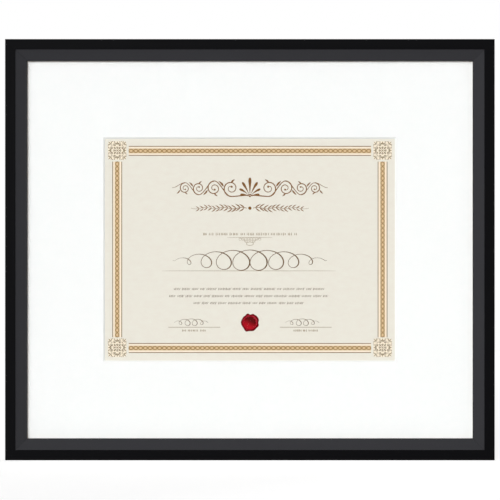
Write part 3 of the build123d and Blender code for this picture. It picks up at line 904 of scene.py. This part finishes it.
button = dict(heelRadius=4.6, tipRadius=3.0, tipReach=12.0, thickness=1.0, hole=1.38, bend=9.0,
              gripRise=1.75, edge=0.3, headGap=0.12)
oneScrew = [screwShell()]
turnButtons = {name: joint for name, joint in joints.items() if name.startswith("button_")}
buttonScrews = []
for number, joint in enumerate(turnButtons.values()):
    x, y, z = np.array(joint["pos_m"]) / mm
    under = y + button["thickness"] + button["headGap"]
    buttonScrews += moved(turned(oneScrew, 37 * number), x, z, under)
heads = makePiece("turnButtonPanScrews", buttonScrews, yellowZinc, "frame")
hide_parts("turn_button_screws")


def turnButtonGrid(sides=72, straightSteps=10, ringSteps=9):
    # a stamped teardrop: the outline is the hull of two circles, each ring lies between the hole and the
    # outline, the edge is rolled round, and past the bend the sheet curls up as a power of the distance
    heel, tip, reach, edge = (button[key] for key in ("heelRadius", "tipRadius", "tipReach", "edge"))
    tangent = np.degrees(np.arccos((heel - tip) / reach))
    tipArc = arc((reach, 0), tip, -tangent, tangent, sides // 3)
    heelArc = arc((0, 0), heel, tangent, 360 - tangent, sides - sides // 3)
    straight = np.linspace(0, 1, straightSteps + 2)[1:-1, None]
    outline = np.concatenate([tipArc, tipArc[-1] + (heelArc[0] - tipArc[-1]) * straight,
                              heelArc, heelArc[-1] + (tipArc[0] - heelArc[-1]) * straight])
    inward = leftOf(outline, closed=True)
    hole = button["hole"] * outline / np.linalg.norm(outline, axis=1, keepdims=True)
    flat = outline + inward * edge
    shares = np.linspace(0, 1, ringSteps)
    rings = [(hole * (1 - share) + flat * share, 0.0) for share in shares]
    rings += [(outline + inward * (edge - out), edge + height)
              for out, height in arc((0, 0), edge, -90, 0, 4)[1:]]
    rings += [(outline + inward * (edge - out), button["thickness"] - edge + height)
              for out, height in arc((0, 0), edge, 0, 90, 4)[:-1]]
    rings += [(hole * share + flat * (1 - share), button["thickness"]) for share in shares]
    points = np.stack([np.insert(ring, 2, height, axis=1) for ring, height in rings])
    past = np.clip(points[..., 0] - button["bend"], 0, None) / (reach + tip - button["bend"])
    points[..., 2] += button["gripRise"] * past ** 1.6
    return points


buttonGrid = turnButtonGrid()
for joint in turnButtons.values():
    # the button's own X points from its screw in over the panel, and its thickness runs backwards
    x, y, z = np.array(joint["pos_m"]) / mm
    body = joint["child"]
    low, high = nodeBox("turn_" + body)
    inward = np.array([(low[0] + high[0]) / 2 - x, 0, (low[2] + high[2]) / 2 - z])
    inward = np.round(inward / np.linalg.norm(inward))
    sideways = np.cross(inward, [0, 1, 0])
    points = (np.array([x, y, z]) + buttonGrid[..., :1] * inward + buttonGrid[..., 1:2] * sideways
              + buttonGrid[..., 2:] * np.array([0, 1, 0]))
    plateShell = shell(points, closedRows=True)
    stamped = makePiece("stamped_" + body, [plateShell], brightZinc, body)
    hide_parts("turn_" + body)
print("turn buttons done")

hanger = dict(gauge=0.8, width=8.0, slit=0.12, drop=6.4, wire=1.8, span=13.6, leg=5.0, corner=2.4,
              barClearance=0.08, foldRadius=0.6, edge=0.18, restGap=0.1, leafSteps=14)
hanger["bore"] = hanger["wire"] / 2 + hanger["barClearance"]
hanger["middle"] = hanger["bore"] + hanger["gauge"] / 2  # radius of the fold's middle line


def strapShell(x, barY, barZ):
    # a strip carried along the fold's middle line: up the inner leaf, round the bar, over a small reverse
    # bend and down the outer leaf; its half width follows a half circle at the leaves' ends
    middle, gauge, edge, halfStrap = hanger["middle"], hanger["gauge"], hanger["edge"], hanger["width"] / 2
    innerY, outerY = -middle, -middle + gauge + hanger["slit"]
    bend = hanger["foldRadius"] + gauge / 2
    bendZ = -np.sqrt((middle + bend) ** 2 - (outerY + bend) ** 2)
    meet = np.degrees(np.arctan2(bendZ, outerY + bend))  # where the bar's arc passes into the reverse bend
    steps = hanger["leafSteps"]
    rise = -hanger["drop"] - halfStrap * np.cos(np.linspace(0, np.pi / 2, steps))
    path = np.concatenate([
        np.stack([np.full(steps, innerY), rise], -1),
        arc((0, 0), middle, 180, meet, 40),
        arc((outerY + bend, bendZ), bend, meet + 180, 180, 10)[1:],
        np.stack([np.full(steps, outerY), rise[::-1]], -1),
    ])
    below = np.clip(-hanger["drop"] - path[:, 1], 0, halfStrap)
    halfWidth = np.sqrt(np.maximum(halfStrap ** 2 - below ** 2, 0.01))
    # the strip's section: two eased corners on the right, and the same again on the left
    corner = arc((-edge, gauge / 2 - edge), edge, 0, 90, 4)
    right = np.concatenate([(corner * [1, -1])[::-1], corner])
    section = np.concatenate([right, (right * [-1, 1])[::-1]])
    side = np.repeat([1.0, -1.0], len(right))
    across = section[:, 0] + halfWidth[:, None] * side
    deep = path[:, None, :] + leftOf(path)[:, None, :] * section[:, 1][None, :, None]
    return shell(np.stack([x + across, barY + deep[..., 0], barZ + deep[..., 1]], -1))


def ringShell(bar, lean):
    # round wire along a D: a bar, two corner arcs, two legs and a half circle, in a plane that leans on the
    # rail; the wire's own circle is a cosine outwards in that plane and a sine square to it
    half, corner = hanger["span"] / 2, hanger["corner"]
    straightBar = np.linspace(-(half - corner), half - corner, 14)[:, None] * [1, 0]
    rightCorner = arc((half - corner, corner), corner, -90, 0, 12)[1:]
    top = arc((0, hanger["leg"]), half, 0, 180, 48)
    leftCorner = (rightCorner * [-1, 1])[::-1]
    path = np.concatenate([straightBar, rightCorner, top, leftCorner[:-1]])
    angle = np.linspace(0, turn, 20, endpoint=False)
    wire = hanger["wire"] / 2
    flat = path[:, None, :] - leftOf(path, closed=True)[:, None, :] * (wire * np.cos(angle))[None, :, None]
    deep = np.broadcast_to(wire * np.sin(angle), flat.shape[:2])[..., None]
    up, out = np.array([0, -np.sin(lean), np.cos(lean)]), np.array([0, np.cos(lean), np.sin(lean)])
    return shell(bar + flat[..., :1] * [1, 0, 0] + flat[..., 1:] * up + deep * out, closedRows=True)


barrel = hanger["bore"] + hanger["gauge"]  # from the bar's axis to the rail
lean = np.arcsin((barrel - hanger["wire"] / 2 - hanger["restGap"]) / (hanger["leg"] + hanger["span"] / 2))
strapTop = backY + 2 * hanger["gauge"] + hanger["slit"]
hangerScrews = []
for side, twist in (("left", 20), ("right", 65)):
    bar = np.array(joints[f"ring_{side}_swing"]["pos_m"]) / mm
    ring = makePiece(f"dRing_{side}", [ringShell(bar, lean)], nickel, f"ring_{side}")
    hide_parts(f"hanger_ring_{side}")
    strap = makePiece(f"foldedStrap_{side}", [strapShell(*bar)], nickel, "frame")
    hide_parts(f"hanger_strap_{side}")
    hangerScrews += moved(turned(oneScrew, twist), bar[0], bar[2] - hanger["drop"], strapTop)
heads = makePiece("hangerPanScrews", hangerScrews, yellowZinc, "frame")
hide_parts("hanger_screws")

bumper = dict(radius=5.5, height=4.5, topRadius=5.0, easing=1.1, footHeight=0.5, dimple=0.02,
              dimpleShare=0.45, pole=0.05)
wide, top, tall, easing = (bumper[key] for key in ("radius", "topRadius", "height", "easing"))
bumperProfile = [(bumper["pole"], 0), (wide, 0), (wide, bumper["footHeight"]),
                 *arc((top - easing, tall - easing), easing, 0, 90, 8),
                 (top * bumper["dimpleShare"], tall - bumper["dimple"]), (bumper["pole"], tall)]
for side in ("left", "right"):
    low, high = nodeBox(f"bumper_{side}")
    centre = (low + high) / 2
    points = revolve(bumperProfile) + [centre[0], backY, centre[2]]
    pad = makePiece(f"rubberPad_{side}", [shell(points)], rubber, "frame")
    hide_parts(f"bumper_{side}")
print("hangers and bumpers done")


# Stage, light and camera

studio = dict(floorHalf=4.0, floorColour="#C4C4C4", floorGlow=0.752, ambient=0.22)
# each lamp's direction that its light comes from, its level and its softness in degrees
lamps = dict(keyLamp=((-0.50, -1.0, 0.36), 0.20, 26.0), frontLamp=((-0.17, -1.0, 0.155), 0.597, 11.0),
             backLamp=((0.4, 1.0, 0.22), 0.60, 20.0))


def addSun(name, comesFrom, level, softness):
    # a far lamp; level is the brightness that it alone gives a white sheet that faces it
    lamp = bpy.data.lights.new(name, "SUN")
    lamp.energy = level * np.pi
    lamp.angle = np.radians(softness)
    holder = addObject(name, lamp)
    direction = -np.array(comesFrom) / np.linalg.norm(comesFrom)
    holder.rotation_mode = "QUATERNION"
    holder.rotation_quaternion = Vector(direction).to_track_quat("-Z", "Y")


def seenDirectly(holder):
    # 1 for what the camera sees, straight on, off a gloss or through glass, and 0 for light on the object
    rays = addNode(holder, "LightPath", out=None)
    seen = addNode(holder, "Math", {0: rays["Is Camera Ray"], 1: rays["Is Glossy Ray"]}, operation="MAXIMUM")
    return addNode(holder, "Math", {0: seen, 1: rays["Is Transmission Ray"]}, operation="MAXIMUM")


for name, (comesFrom, level, softness) in lamps.items():
    addSun(name, comesFrom, level, softness)

# a matt painted floor that glows a little where it is seen, so that it reads as white and keeps the shadow
floorPaint, _ = newMaterial("paintedStudioFloor")
seen = seenDirectly(floorPaint)
glow = addNode(floorPaint, "Math", {0: seen, 1: studio["floorGlow"]}, operation="MULTIPLY")
matt = addNode(floorPaint, "BsdfDiffuse", {"Color": studio["floorColour"]})
shine = addNode(floorPaint, "Emission", {"Strength": glow})
swapShader(floorPaint, addNode(floorPaint, "AddShader", {0: matt, 1: shine}))
floorMesh = bpy.data.meshes.new("studioFloor")
half, level = studio["floorHalf"], nodeBox("rail_bottom")[0][2] * mm
floorCorners = [(x * half, y * half, level) for x, y in ((-1, -1), (1, -1), (1, 1), (-1, 1))]
floorMesh.from_pydata(floorCorners, [], [(0, 1, 2, 3)])
floorMesh.materials.append(floorPaint)
floor = addObject("studioFloor", floorMesh)

world = bpy.data.worlds.new("whiteStudio")
bpy.context.scene.world = world
world.use_nodes = True
background = world.node_tree.nodes["Background"]
background.inputs["Color"].default_value = (1, 1, 1, 1)
strength = addNode(world, "MapRange", {0: seenDirectly(world), 3: studio["ambient"], 4: 1.0})
lead(world, background, {"Strength": strength})

# the camera looks straight at the front from far away; centreX and centreY are the pixels of the image
# where the frame's middle lies
shot = dict(lens=300.0, sensor=36.0, imageWidth=500, pixelsPerMm=1.0772, centreX=249.9, centreY=249.7)
distance = shot["imageWidth"] / shot["pixelsPerMm"] * shot["lens"] / shot["sensor"]
cameraData = bpy.data.cameras.new("frontCamera")
cameraData.lens = shot["lens"]
cameraData.sensor_width = shot["sensor"]
cameraData.clip_end = 100.0
camera = addObject("frontCamera", cameraData)
offX = (shot["imageWidth"] / 2 - shot["centreX"]) / shot["pixelsPerMm"]
offZ = (shot["centreY"] - shot["imageWidth"] / 2) / shot["pixelsPerMm"]
camera.location = (offX * mm, (frontY - distance) * mm, offZ * mm)
camera.rotation_euler = (np.pi / 2, 0, 0)
bpy.context.scene.camera = camera
bpy.context.scene.view_settings.view_transform = "Standard"
print("stage done")
